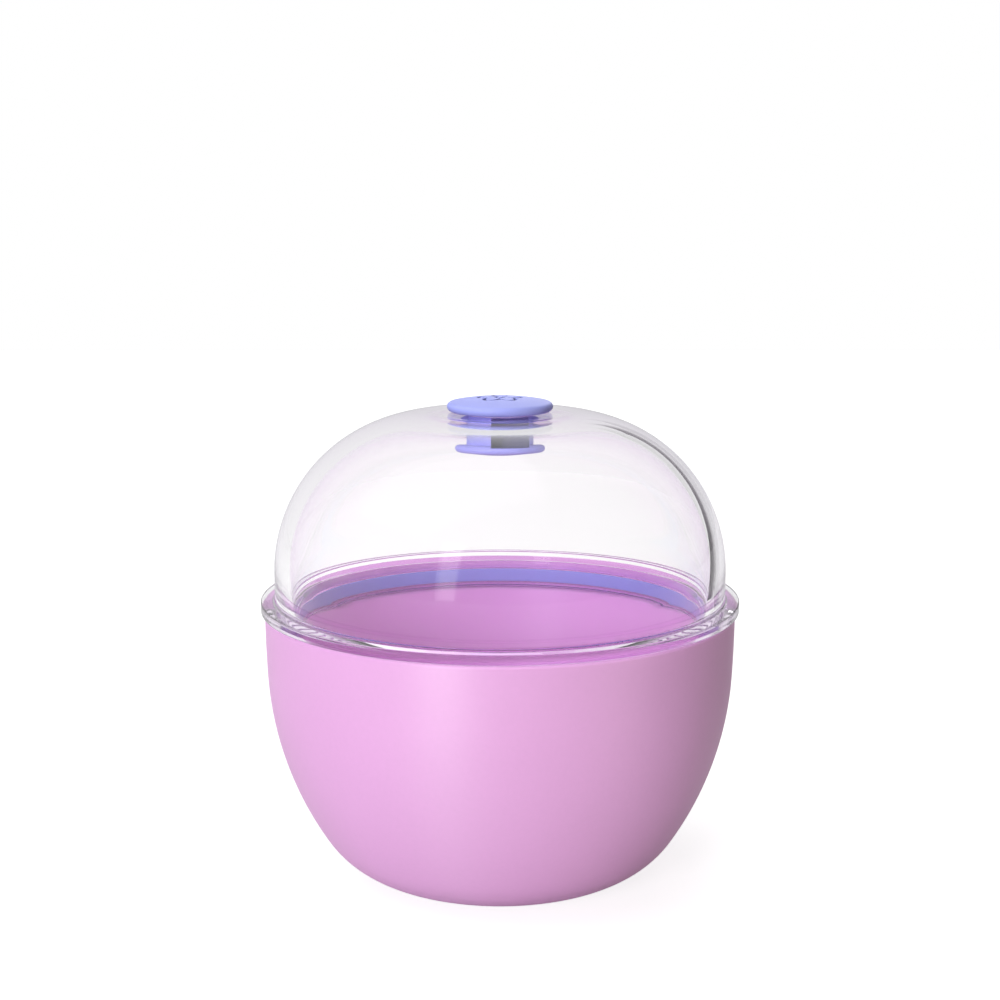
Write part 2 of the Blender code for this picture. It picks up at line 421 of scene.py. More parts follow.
def tone_drift_group() -> ShaderNodeTree:
    """A faint cloudiness of colour, as pigment has in moulded plastic, built once.

    A slow noise and a finer one push the colour's value up and down round 1 by Drift.

    Returns:
        The group.
    """
    name = "tone_drift"
    if name in bpy.data.node_groups:
        return bpy.data.node_groups[name]
    cloud_scale, speck_scale, speck_share, average = 38.0, 1400.0, 0.35, 0.675
    group = new_group(
        name,
        {"Vector": "NodeSocketVector", "Color": "NodeSocketColor", "Drift": "NodeSocketFloat"},
        {"Color": "NodeSocketColor"},
    )
    inside = group.nodes["Group Input"].outputs
    slow = noise(group, inside["Vector"], cloud_scale, detail=2.0)
    specks = noise(group, inside["Vector"], speck_scale, detail=1.0)
    both = math_node(group, "MULTIPLY_ADD", specks, speck_share, slow)
    centred = math_node(group, "SUBTRACT", both, average)
    value = math_node(group, "MULTIPLY_ADD", centred, inside["Drift"], 1.0)
    fill(group, group.nodes["Group Output"], {"Color": brightened(group, inside["Color"], value)})
    return group


def toned(tree: NodeTree, vector: NodeSocket, colour: Colour, drift: float) -> NodeSocket:
    """The colour with a tone drift of the given strength, read at a vector."""
    inputs = {"Vector": vector, "Color": colour, "Drift": drift}
    return new_node(tree, "Group", inputs, node_tree=tone_drift_group()).outputs["Color"]


@dataclass(frozen=True)
class MouldedFinish:
    """Pigmented plastic or silicone with a fine mould grain.

    The grain's height feeds a bump, and its slow wear moves the roughness a little, so that
    highlights break up as on a handled moulding. It can also darken recessed places with painted
    shade.
    """

    name: str
    colour: Colour
    roughness: float
    roughness_drift: float = 0.06
    drift: float = 0.10
    grains: float = 5200.0
    grain_depth: float = 0.006 * MM
    specular: float = 0.5
    anisotropic: float = 0.0
    anisotropic_turn: float = 0.25
    # How strongly painted shade darkens the recesses marked in the piece's groove attribute.
    painted_recess_shade: float = 0.0

    def material(self) -> Material:
        """Builds the finish.

        Returns:
            The Blender material.
        """
        material, shader = new_material(self.name)
        tree = material.node_tree
        vector = new_node(tree, "TexCoord", {}).outputs["Object"]
        inputs = {"Vector": vector, "Grains per metre": self.grains}
        grain = new_node(tree, "Group", inputs, node_tree=mould_grain_group()).outputs
        spread = math_node(tree, "SUBTRACT", grain["Wear"], 0.5)
        inputs = {
            "Base Color": self.grooved(tree, toned(tree, vector, self.colour, self.drift)),
            "Roughness": math_node(tree, "MULTIPLY_ADD", spread, self.roughness_drift, self.roughness),
            "Normal": bumped(tree, grain["Height"], self.grain_depth),
            "Specular IOR Level": self.specular,
            "Anisotropic": self.anisotropic,
            "Anisotropic Rotation": self.anisotropic_turn,
        }
        fill(tree, shader, inputs)
        return material

    def grooved(self, tree: NodeTree, colour: NodeSocket) -> NodeSocket:
        """The colour, with painted shade where the piece's groove attribute says that it is recessed.

        Args:
            tree: the material's tree.
            colour: the colour off the grooves.

        Returns:
            The colour with its grooves.
        """
        if self.painted_recess_shade <= 0.0:
            return colour
        # Painted shade: the colour's value drops by the shade's strength where the groove is full.
        groove = new_node(tree, "Attribute", {}, attribute_name="groove").outputs["Fac"]
        return brightened(tree, colour, math_node(tree, "MULTIPLY_ADD", groove, -self.painted_recess_shade, 1.0))


@dataclass(frozen=True)
class ClearAcrylic:
    """Polished clear acrylic that lets the lamps through to what it covers.

    Its roughness is nearly nothing, and rises a touch where fingers have left a film. Its
    surface is slightly wavy, as injection-moulded acrylic is.
    """

    name: str
    tint: Colour
    index: float = 1.49
    drift: float = 0.01
    film: float = 0.004
    film_scale: float = 70.0
    film_threshold: float = 0.52
    film_range: float = 0.2
    wave_scale: float = 45.0
    wave_depth: float = 0.0002 * MM
    shade: Colour = (0.82, 0.75, 0.88)
    edge_tint: Colour = (0.80, 0.75, 0.97)
    edge_power: float = 7.0

    def material(self) -> Material:
        """Builds the finish.

        Returns:
            The Blender material.
        """
        material, shader = new_material(self.name)
        tree = material.node_tree
        vector = new_node(tree, "TexCoord", {}).outputs["Object"]
        grazing = new_node(tree, "LayerWeight", {"Blend": 0.5}).outputs["Facing"]
        at_edge = math_node(tree, "POWER", grazing, self.edge_power)
        smear = noise(tree, vector, self.film_scale, detail=4.0, roughness=0.65)
        film = math_node(tree, "MAXIMUM", math_node(tree, "SUBTRACT", smear, self.film_threshold), 0.0)
        wave = noise(tree, vector, self.wave_scale, detail=0.0)
        inputs = {
            "Base Color": mixed(tree, at_edge, toned(tree, vector, self.tint, self.drift), self.edge_tint),
            "Roughness": math_node(tree, "MULTIPLY", film, self.film / self.film_range),
            "Normal": bumped(tree, wave, self.wave_depth),
            "IOR": self.index,
            "Transmission Weight": 1.0,
        }
        fill(tree, shader, inputs)
        self.let_lamps_through(tree, shader)
        return material

    def let_lamps_through(self, tree: NodeTree, shader: Node) -> None:
        """Swaps the shader for a plain transparent one on rays towards the lamps.

        Args:
            tree: the material's tree.
            shader: its Principled shader.
        """
        towards_lamp = new_node(tree, "LightPath", {}).outputs["Is Shadow Ray"]
        clear = new_node(tree, "BsdfTransparent", {"Color": self.shade}).outputs["BSDF"]
        mix = new_node(tree, "MixShader", {0: towards_lamp, 1: shader.outputs["BSDF"], 2: clear})
        fill(tree, tree.nodes["Material Output"], {"Surface": mix.outputs["Shader"]})


Finish = MouldedFinish | ClearAcrylic


def dressed(piece: Object, finish: Finish, body: str, node: str) -> Object:
    """Gives a piece its finish and its place in the model.

    Args:
        piece: the finished mesh object.
        finish: what it is made of.
        body: the body it moves with.
        node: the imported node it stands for.

    Returns:
        The same piece.
    """
    piece.data.materials.append(finish.material())
    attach(piece, body)
    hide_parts(node)
    return piece


# The dish


@dataclass
class Bowl:
    """The moulded bowl, an even shell with a ledge under its rim."""

    wall: float = 3.0 * MM
    rim_wall: float = 2.0 * MM
    rim_outer_round: float = 0.45 * MM
    rim_inner_round: float = 0.5 * MM
    ledge_depth: float = 4.4 * MM
    ledge_round: float = 0.8 * MM
    foot_radius: float = 15.0 * MM
    foot_ring_width: float = 3.6 * MM
    foot_recess: float = 0.6 * MM
    small_round: float = 0.2 * MM
    flare_radius: float = 183.0 * MM
    flare_turn: float = math.radians(3.0)
    belly_turn: float = math.radians(30.3)
    around: int = 256

    def wall_curve(self, inset: float, trim: float) -> np.ndarray:
        """The wall's outline from the rim to the foot: a near-straight flare, belly and heel.

        Args:
            inset: how far inside the outer face, for the inner face.
            trim: height left out below the rim.

        Returns:
            Points (r, z), downwards.
        """
        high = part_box("bowl")[1]
        rim_radius, height = high.x, high.z
        heel_start = self.flare_turn + self.belly_turn
        belly, heel = arc_pair(
            (self.flare_turn, heel_start, QUARTER),
            height - self.flare_radius * math.sin(self.flare_turn),
            rim_radius - self.foot_radius - self.flare_radius * (1 - math.cos(self.flare_turn)),
        )
        start = -math.asin(trim / (self.flare_radius - inset))
        flare_centre = (rim_radius - self.flare_radius, height)
        belly_centre = (
            flare_centre[0] + (self.flare_radius - belly) * math.cos(self.flare_turn),
            flare_centre[1] - (self.flare_radius - belly) * math.sin(self.flare_turn),
        )
        heel_centre = (self.foot_radius, heel)
        return np.concatenate(
            (
                arc(flare_centre, self.flare_radius - inset, start, -self.flare_turn, steps=6),
                arc(belly_centre, belly - inset, -self.flare_turn, -heel_start, steps=32)[1:],
                arc(heel_centre, heel - inset, -heel_start, -QUARTER, steps=28)[1:],
            )
        )

    def build(self, finish: Finish) -> Object:
        """Builds the bowl and rides it on the bowl's body.

        Args:
            finish: what it is made of.

        Returns:
            The finished piece.
        """
        low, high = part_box("bowl")
        height = high.z
        bore = high.x - self.rim_wall
        outside = self.wall_curve(0.0, self.rim_outer_round)
        inside = self.wall_curve(self.wall, self.ledge_depth + self.ledge_round)
        ledge = height - self.ledge_depth
        ledge_centre = (inside[0, 0] + self.ledge_round, ledge - self.ledge_round)
        inner_centre = (bore + self.rim_inner_round, height - self.rim_inner_round)
        outer_centre = (outside[0, 0] - self.rim_outer_round, height - self.rim_outer_round)
        recess = self.foot_radius - self.foot_ring_width

        stretches = (
            [(0.0, inside[-1, 1], 0.0)],
            inside[::-1],
            arc(ledge_centre, self.ledge_round, math.pi, QUARTER, steps=10)[1:],
            [(bore, ledge, self.small_round)],
            arc(inner_centre, self.rim_inner_round, math.pi, QUARTER, steps=8),
            arc(outer_centre, self.rim_outer_round, QUARTER, 0.0, steps=10),
            outside[1:],
            [
                (recess, low.z, self.small_round),
                (recess - self.foot_recess, low.z + self.foot_recess, self.small_round),
                (0.0, low.z + self.foot_recess, 0.0),
            ],
        )
        grid = turned(rounded_outline(stretches), full_circle(self.around))
        shell = piece_from_grid("bowl_shell", grid, closed=False)
        return dressed(shell, finish, "bowl", "bowl")


@dataclass
class DomeLid:
    """The clear lid: dome with the plug's hole, flange on the rim, and grooved skirt."""

    wall: float = 2.3 * MM
    seat_gap: float = 0.25 * MM
    flange_thickness: float = 1.5 * MM
    flange_width: float = 2.1 * MM
    flange_fillet: float = 0.4 * MM
    straight_top: float = 6.0 * MM
    shoulder_turn: float = math.radians(65.0)
    land_radius: float = 9.9 * MM
    hole_radius: float = 5.3 * MM
    skirt_radius: float = 32.95 * MM
    skirt_wall: float = 2.0 * MM
    skirt_shoulder: float = 0.85 * MM
    skirt_lip: float = 0.55 * MM
    groove_depth: float = 0.85 * MM
    edge_round: float = 0.15 * MM
    groove_round: float = 0.08 * MM
    skirt_round: float = 0.25 * MM
    throat_round: float = 0.8 * MM
    around: int = 432

    def dome_curve(self, inset: float) -> np.ndarray:
        """The dome's outline from its straight wall to the flat land: shoulder, then crown.

        Args:
            inset: how far inside the outer face, for the inner face.

        Returns:
            Points (r, z), upwards.
        """
        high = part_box("dome_lid")[1]
        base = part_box("bowl")[1].z + self.straight_top
        radius = high.x - self.flange_width
        shoulder, crown = arc_pair(
            (0.0, self.shoulder_turn, QUARTER), high.z - base, radius - self.land_radius
        )
        shoulder_centre = (radius - shoulder, base)
        crown_centre = (self.land_radius, high.z - crown)
        return np.concatenate(
            (
                arc(shoulder_centre, shoulder - inset, 0.0, self.shoulder_turn, steps=40),
                arc(crown_centre, crown - inset, self.shoulder_turn, QUARTER, steps=16)[1:],
            )
        )

    def build(self, finish: Finish) -> Object:
        """Builds the lid and rides it on the lid's body.

        Args:
            finish: what it is made of.

        Returns:
            The finished piece.
        """
        low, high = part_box("dome_lid")
        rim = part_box("bowl")[1].z
        land, bottom = high.z, low.z
        flange = high.x
        radius = flange - self.flange_width
        under = rim + self.seat_gap
        top = under + self.flange_thickness
        groove_top = rim - self.skirt_shoulder
        groove_bottom = bottom + self.skirt_lip
        groove = self.skirt_radius - self.groove_depth
        inner = self.skirt_radius - self.skirt_wall

        stretches = (
            [(self.hole_radius, land, self.edge_round)],
            self.dome_curve(0.0)[::-1],
            [
                (radius, top, self.flange_fillet),
                (flange, top, self.edge_round),
                (flange, under, self.edge_round),
                (self.skirt_radius, under, self.edge_round),
                (self.skirt_radius, groove_top, self.groove_round),
                (groove, groove_top, self.groove_round),
                (groove, groove_bottom, self.groove_round),
                (self.skirt_radius, groove_bottom, self.groove_round),
                (self.skirt_radius, bottom, self.skirt_round),
                (inner, bottom, self.skirt_round),
                (inner, under, self.throat_round),
                (radius - self.wall, top, self.throat_round),
            ],
            self.dome_curve(self.wall),
            [(self.hole_radius, land - self.wall, self.edge_round)],
        )
        grid = turned(rounded_outline(stretches), full_circle(self.around))
        shell = piece_from_grid("dome_shell", grid, closed=True)
        return dressed(shell, finish, "lid", "dome_lid")


@dataclass
class Gasket:
    """The soft ring in the skirt's groove."""

    inner_radius: float = 32.25 * MM
    inner_round: float = 0.1 * MM
    edge_round: float = 0.3 * MM
    around: int = 256

    def build(self, finish: Finish) -> Object:
        """Builds the ring and rides it on the lid's body.

        Args:
            finish: what it is made of.

        Returns:
            The finished piece.
        """
        low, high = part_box("lid_gasket")
        section = [
            (self.inner_radius, high.z, self.inner_round),
            (high.x, high.z, self.edge_round),
            (high.x, low.z, self.edge_round),
            (self.inner_radius, low.z, self.inner_round),
        ]
        grid = turned(rounded_outline((section,)), full_circle(self.around))
        ring = piece_from_grid("gasket_ring", grid, closed=True)
        return dressed(ring, finish, "lid", "lid_gasket")


@dataclass(frozen=True)
class Blossom:
    """A five-petal flower cut as thin lines into the plug's cap."""

    petal_reach: float = 3.3 * MM
    waist: float = 0.52
    heart_radius: float = 0.62 * MM
    line_width: float = 0.42 * MM
    line_edge: float = 0.07 * MM
    depth: float = 0.42 * MM
    petals: int = 5
    turn: float = math.radians(18.0)

    @property
    def reach(self) -> float:
        """How far from the axis the lines come."""
        return self.petal_reach + self.line_width

    def depth_at(self, x: np.ndarray, y: np.ndarray) -> np.ndarray:
        """How deep the lines are at each point.

        The petals' line is the curve rho = petal_reach (waist + (1 - waist) |cos(n a / 2)|). Its
        distance is the radial gap times the cosine of the curve's slant, and a line is cut
        where the distance to the curve, or to the heart's circle, is under half its width.

        Args:
            x: across, in metres.
            y: away from the front.

        Returns:
            The depth in metres, 0 off the lines.
        """
        rho = np.hypot(x, y)
        phase = (np.arctan2(y, x) - self.turn) * self.petals / 2
        curve = self.petal_reach * (self.waist + (1 - self.waist) * np.abs(np.cos(phase)))
        slant = self.petal_reach * (1 - self.waist) * np.abs(np.sin(phase)) * self.petals / 2
        petal = np.abs(rho - curve) / np.hypot(1.0, slant / curve)
        heart = np.abs(rho - self.heart_radius)
        distance = np.minimum(petal, heart)
        ease = np.clip((self.line_width / 2 + self.line_edge - distance) / (2 * self.line_edge), 0.0, 1.0)
        return self.depth * ease * ease * (3 - 2 * ease)


@dataclass
class VentPlug:
    """The soft spool in the dome's hole: cap, stem with one wide notch, and retaining flange."""

    seat_gap: float = 0.2 * MM
    cap_edge: float = 1.35 * MM
    cap_crown: float = 0.7 * MM
    stem_radius: float = 4.95 * MM
    stem_fillet: float = 0.35 * MM
    stem_foot_fillet: float = 0.15 * MM
    retainer_radius: float = 6.65 * MM
    retainer_thickness: float = 1.3 * MM
    retainer_bulge: float = 0.4 * MM
    bulge_round: float = 2.0 * MM
    shortening: float = 1.1 * MM
    notch_left: float = 1.3 * MM
    notch_right: float = 4.3 * MM
    notch_back: float = 1.2 * MM
    notch_roof: float = 0.6 * MM
    notch_floor_depth: float = 0.35 * MM
    notch_skin: float = 0.3 * MM
    blossom: Blossom = field(default_factory=Blossom)
    round_columns: int = 300
    notch_columns: tuple[int, int, int] = (30, 46, 8)

    def rows(self) -> tuple[np.ndarray, np.ndarray, np.ndarray]:
        """The spool's outline in three stretches: above the notch, along it and below it.

        Returns:
            The outline's points (r, z), whether each is on the notched stretch, and the radius
            that sets the notch's angles on its row.
        """
        low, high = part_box("vent_plug")
        bottom = low.z + self.shortening
        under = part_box("dome_lid")[1].z + self.seat_gap
        edge = self.cap_edge / 2
        flat = high.x - edge
        rise = edge + self.cap_crown
        crown = (flat**2 + rise**2 - edge**2) / (2 * self.cap_crown)
        meeting = QUARTER - math.asin(flat / (crown - edge))
        crown_centre = (0.0, under + edge + rise - crown)
        engraved = QUARTER - self.blossom.reach / crown
        roof = under - self.notch_roof
        retainer_top = bottom + self.retainer_bulge + self.retainer_thickness
        bead = self.retainer_thickness / 2
        bead_centre = (self.retainer_radius - bead, retainer_top - bead)
        floor_angle = math.asin((bead - self.notch_floor_depth) / bead)

        above = (
            arc(crown_centre, crown, QUARTER, engraved, steps=60),
            arc(crown_centre, crown, engraved, meeting, steps=12)[1:],
            arc((flat, under + edge), edge, meeting, -QUARTER, steps=18)[1:],
            [(self.stem_radius, under, self.stem_fillet), (self.stem_radius, roof, 0.0)],
        )
        along = (
            np.linspace((self.stem_radius, roof), (self.stem_radius, retainer_top), num=10)[:-1],
            [(self.stem_radius, retainer_top, self.stem_foot_fillet)],
            arc(bead_centre, bead, QUARTER, floor_angle, steps=8),
        )
        below = (
            arc(bead_centre, bead, floor_angle, -QUARTER, steps=12),
            [(self.stem_radius / 2, bottom, self.bulge_round), (0.0, bottom, 0.0)],
        )
        parts = [rounded_outline(part) for part in (above, along, below)]
        notched = np.repeat([False, True, False], [len(part) for part in parts])
        points = np.concatenate(parts)
        guide = np.where(notched, points[:, 0], self.stem_radius)
        guide[len(parts[0]) + len(parts[1]):] = parts[1][-1, 0]
        return points, notched, guide

    def grid(self) -> np.ndarray:
        """The spool's surface, with the notch cut into its front.

        Each row is a closed loop. From the notch's right side it follows the circle
        (r sin a, -r cos a) round the back to the notch's left side. Across the front it keeps
        to the circle above and below the notch, and inside it follows the left wall in, the
        back wall across and the right wall out. Along the stem the walls' lines are level. The
        rows on the retainer end inside at heights spread evenly down to the notch's floor, so
        that rows that share a height on the outside still part inside, and stay in the wall.

        Returns:
            Points of shape (rows, columns, 3).
        """
        points, notched, guide = self.rows()
        first = -np.arcsin(self.notch_left / guide)[:, None]
        last = np.arcsin(self.notch_right / guide)[:, None]
        step = np.linspace(0.0, 1.0, self.round_columns, endpoint=False)
        back = turned(points, last + (math.tau + first - last) * step)
        step = np.linspace(0.0, 1.0, sum(self.notch_columns), endpoint=False)
        front = turned(points, first + (last - first) * step)
        front[notched] = self.notch_walls(points[notched])
        return np.concatenate((back, front), axis=1)

    def notch_walls(self, points: np.ndarray) -> np.ndarray:
        """The notch's walls for the notched rows, each a path of three straight lines.

        Args:
            points: the rows' outline points (r, z).

        Returns:
            Points of shape (rows, notch columns, 3).
        """
        r, z = points[:, 0], points[:, 1]
        shelf = z < z[-1] + self.notch_floor_depth + SAME_POINT
        inner = z.copy()
        inner[shelf] = np.linspace(z[shelf][0], z[-1], np.count_nonzero(shelf))
        left, right = np.full_like(r, -self.notch_left), np.full_like(r, self.notch_right)
        depth = np.full_like(r, -self.notch_back)
        corners = np.stack(
            (
                np.stack((left, -np.sqrt(r**2 - left**2), z), axis=1),
                np.stack((left, depth, inner), axis=1),
                np.stack((right, depth, inner), axis=1),
                np.stack((right, -np.sqrt(r**2 - right**2), z), axis=1),
            )
        )
        sides = []
        for start, end, count in zip(corners[:-1], corners[1:], self.notch_columns):
            step = np.linspace(0.0, 1.0, count, endpoint=False)[None, :, None]
            sides.append(start[:, None, :] + (end - start)[:, None, :] * step)
        return np.concatenate(sides, axis=1)

    def build(self, finish: Finish) -> Object:
        """Builds the plug and rides it on its own body.

        Args:
            finish: what it is made of.

        Returns:
            The finished piece.
        """
        grid = self.grid()
        grid[..., 2] -= self.engraved(grid[..., 0], grid[..., 1], grid[..., 2])
        spool = piece_from_grid("plug_spool", grid, closed=False)
        self.mark_painted_shade(spool.data)
        return dressed(spool, finish, "plug", "vent_plug")

    def engraved(self, x: np.ndarray, y: np.ndarray, z: np.ndarray) -> np.ndarray:
        """How deep the blossom's lines are at each point, which is 0 below the cap's crown."""
        on_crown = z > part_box("dome_lid")[1].z + self.seat_gap + self.cap_edge
        return np.where(on_crown, self.blossom.depth_at(x, y), 0.0)

    def mark_painted_shade(self, mesh: Mesh) -> None:
        """Writes how recessed each point is: the lines' share of their depth, and the notch.

        The finish darkens these places with painted shade.

        Args:
            mesh: the finished spool's mesh.
        """
        count = len(mesh.vertices)
        points = np.empty(count * 3, np.float32)
        mesh.vertices.foreach_get("co", points)
        x, y, z = points.reshape(count, 3).T
        lines = self.engraved(x, y, z) / self.blossom.depth
        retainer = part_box("vent_plug")[0].z + self.shortening + self.retainer_bulge
        level = (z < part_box("dome_lid")[1].z) & (z > retainer + self.retainer_thickness / 2)
        inside = (np.hypot(x, y) < self.stem_radius - self.notch_skin) & (y < SLACK - self.notch_back)
        between = (x > -self.notch_left - SLACK) & (x < self.notch_right + SLACK)
        notch = level & inside & between
        # The mask for the painted shade in the notch and in the blossom's lines.
        groove = mesh.attributes.new("groove", "FLOAT", "POINT")
        groove.data.foreach_set("value", np.where(notch, 1.0, lines).astype(np.float32))


# Studio


class LitBy(Enum):
    """What a lamp lights."""

    DISH = "EXCLUDE"
    LID = "INCLUDE"


@dataclass(frozen=True)
class Softbox:
    """A rectangular lamp on a circle round the dish.

    Its place is the dish's middle plus the distance along (sin a cos e, -cos a cos e, sin e),
    for azimuth a from the front towards +X and elevation e.
    """

    name: str
    azimuth: float
    elevation: float
    distance: float
    width: float
    height: float
    power: float
    lights: LitBy
    colour: Colour = (1.0, 1.0, 1.0)
    roll: float = 0.0

    def place(self, target: Vector) -> Vector:
        """Where the lamp's middle is.

        Args:
            target: the point that it faces.

        Returns:
            Its place in the world.
        """
        around, up = math.radians(self.azimuth), math.radians(self.elevation)
        away = Vector((math.sin(around) * math.cos(up), -math.cos(around) * math.cos(up), math.sin(up)))
        return target + away * self.distance

    def build(self, target: Vector, lid: Object) -> None:
        """Adds the lamp, facing the target.

        Args:
            target: the point that it faces.
            lid: the clear lid.
        """
        data = bpy.data.lights.new(self.name, "AREA")
        data.shape = "RECTANGLE"
        data.size, data.size_y = self.width, self.height
        data.energy = self.power
        data.color = self.colour
        lamp = added(self.name, data)
        lamp.location = self.place(target)
        aim = (target - lamp.location).to_track_quat("-Z", "Y")
        lamp.rotation_euler = (aim @ Quaternion((0.0, 0.0, 1.0), math.radians(self.roll))).to_euler()
        receivers = bpy.data.collections.new(f"{self.name}_receivers")
        receivers.objects.link(lid)
        lamp.light_linking.receiver_collection = receivers
        for member in receivers.collection_objects:
            member.light_linking.link_state = self.lights.value


@dataclass(frozen=True)
class Backdrop:
    """How bright a surface round the dish is for each kind of ray, and in what colour.

    It is seen by rays straight from the camera, and through is its level behind clear walls.
    Lit is what it gives to matt surfaces. Of the rays that were mirrored on the way, those that
    never entered a clear wall find bare, which rises by lean towards the left, and the others
    find reflected, which turns into overhead where the ray rises through horizon.
    """

    lit: float
    seen: float
    through: float
    bare: float
    reflected: float
    overhead: float
    lean: float = 0.0
    horizon: tuple[float, float] = (math.radians(3.0), math.radians(12.0))
    steep: float = math.radians(20.0)
    # Painted reflections of the dish: lavender for rays mirrored twice, the bowl's pink for rays through the
    # flange.
    painted_reflection_lavender: Colour = (0.96, 0.86, 1.0)
    flange: Colour = (0.84, 0.42, 0.87)

    def colour(self, tree: NodeTree) -> NodeSocket:
        """White, with painted reflections of the dish for rays that have wandered inside its clear walls.

        A ray has wandered if it was mirrored twice, and gets a painted lavender. One that crossed a surface
        four times and was mirrored three times, or once if it is steep, has passed through the flange,
        over the bowl, and gets the bowl's pink as a painted reflection. On the floor, where Generated is
        0.5 up, every ray counts as steep.

        Args:
            tree: the tree that gets the nodes.

        Returns:
            The socket that carries the colour.
        """
        path = new_node(tree, "LightPath", {}).outputs
        once, twice, often = (at_least(tree, path["Glossy Depth"], times) for times in (1, 2, 3))
        rises = math_node(tree, "GREATER_THAN", self.direction(tree).outputs["Z"], math.sin(self.steep))
        by_flange = math_node(tree, "MAXIMUM", math_node(tree, "MULTIPLY", rises, once), often)
        crossed = at_least(tree, path["Transmission Depth"], 4)
        # Painted reflection: lavender after two mirrorings, and the bowl's pink after the flange.
        tint = mixed(tree, twice, (1.0, 1.0, 1.0), self.painted_reflection_lavender)
        return mixed(tree, math_node(tree, "MULTIPLY", crossed, by_flange), tint, self.flange)

    def strength(self, tree: NodeTree) -> NodeSocket:
        """The brightness.

        Args:
            tree: the tree that gets the nodes.

        Returns:
            The socket that carries the brightness.
        """
        direction = self.direction(tree).outputs
        ramp = {
            "Value": direction["Z"],
            "From Min": math.sin(self.horizon[0]),
            "From Max": math.sin(self.horizon[1]),
            "To Min": self.reflected,
            "To Max": self.overhead,
        }
        inside = new_node(tree, "MapRange", ramp, interpolation_type="SMOOTHSTEP").outputs["Result"]
        bare = math_node(tree, "MULTIPLY_ADD", direction["X"], -self.lean, self.bare)
        path = new_node(tree, "LightPath", {}).outputs
        shiny = math_node(tree, "MAXIMUM", path["Is Glossy Ray"], path["Is Transmission Ray"])
        level = mixed(tree, at_least(tree, path["Transmission Depth"], 1), bare, inside)
        level = mixed(tree, at_least(tree, path["Glossy Depth"], 1), self.through, level)
        level = mixed(tree, shiny, self.lit, level)
        return mixed(tree, path["Is Camera Ray"], level, self.seen)

    def direction(self, tree: NodeTree) -> Node:
        """The world's direction, or the floor's own coordinates, split into X, Y and Z."""
        generated = new_node(tree, "TexCoord", {}).outputs["Generated"]
        return new_node(tree, "SeparateXYZ", {"Vector": generated})


@dataclass(frozen=True)
class Flag:
    """A narrow dark ribbon behind the dish that only mirrored rays see.

    It draws the dark line down the inside of the dome's edge. It stands on a cylinder round
    the dish, at azimuth low + turn (h ** power), where h is 0 up to bend_start and then grows
    by 1 over each bend_length of height. The share lead of its spread lies before that line.
    """

    low: float = math.radians(129.0)
    turn: float = math.radians(29.0)
    power: float = 1.8
    bend_start: float = 15.0 * MM
    bend_length: float = 88.0 * MM
    spread: float = math.radians(12.0)
    lead: float = 1 / 3
    distance: float = 160.0 * MM
    height: float = 112.0 * MM
    tone: Colour = (0.02, 0.02, 0.02)
    fade_start: float = 0.35
    rows: int = 24
    columns: int = 9

    def build(self) -> None:
        """Adds the ribbon to the stage."""
        flag = added("flag", self.ribbon())
        flag.visible_camera = False
        flag.visible_diffuse = False
        flag.visible_shadow = False
        flag.data.materials.append(self.material())

    def ribbon(self) -> Mesh:
        """The ribbon's mesh.

        Returns:
            The mesh, whose attribute "across" runs from 0 at one side to 1 at the other.
        """
        across = np.linspace(0.0, 1.0, self.columns)
        height = np.linspace(0.0, self.height, self.rows)
        bend = np.clip((height - self.bend_start) / self.bend_length, 0.0, None) ** self.power
        azimuth = self.low + self.turn * bend[:, None] + self.spread * (across - self.lead)
        points = turned(np.column_stack((np.full(self.rows, self.distance), height)), azimuth)
        index = np.arange(self.rows * self.columns).reshape(self.rows, self.columns)
        faces = np.stack((index[:-1, :-1], index[:-1, 1:], index[1:, 1:], index[1:, :-1]), axis=2)
        mesh = bpy.data.meshes.new("flag")
        mesh.from_pydata(points.reshape(-1, 3), [], faces.reshape(-1, 4))
        share = mesh.attributes.new("across", "FLOAT", "POINT")
        share.data.foreach_set("value", np.tile(across, self.rows))
        return mesh

    def material(self) -> Material:
        """A flat black that fades from one side to the other, and is clear to other rays.

        Returns:
            The Blender material.
        """
        material, shader = new_material("flag_black")
        tree = material.node_tree
        side = new_node(tree, "Attribute", {}, attribute_name="across").outputs["Fac"]
        ramp = {"Value": side, "From Min": self.fade_start, "To Min": 1.0, "To Max": 0.0}
        fade = new_node(tree, "MapRange", ramp, interpolation_type="SMOOTHSTEP").outputs["Result"]
        mirrored = at_least(tree, new_node(tree, "LightPath", {}).outputs["Glossy Depth"], 1)
        dark = math_node(tree, "MULTIPLY", mirrored, fade)
        fill(tree, shader, {"Base Color": self.tone, "Specular IOR Level": 0.0, "Alpha": dark})
        return material


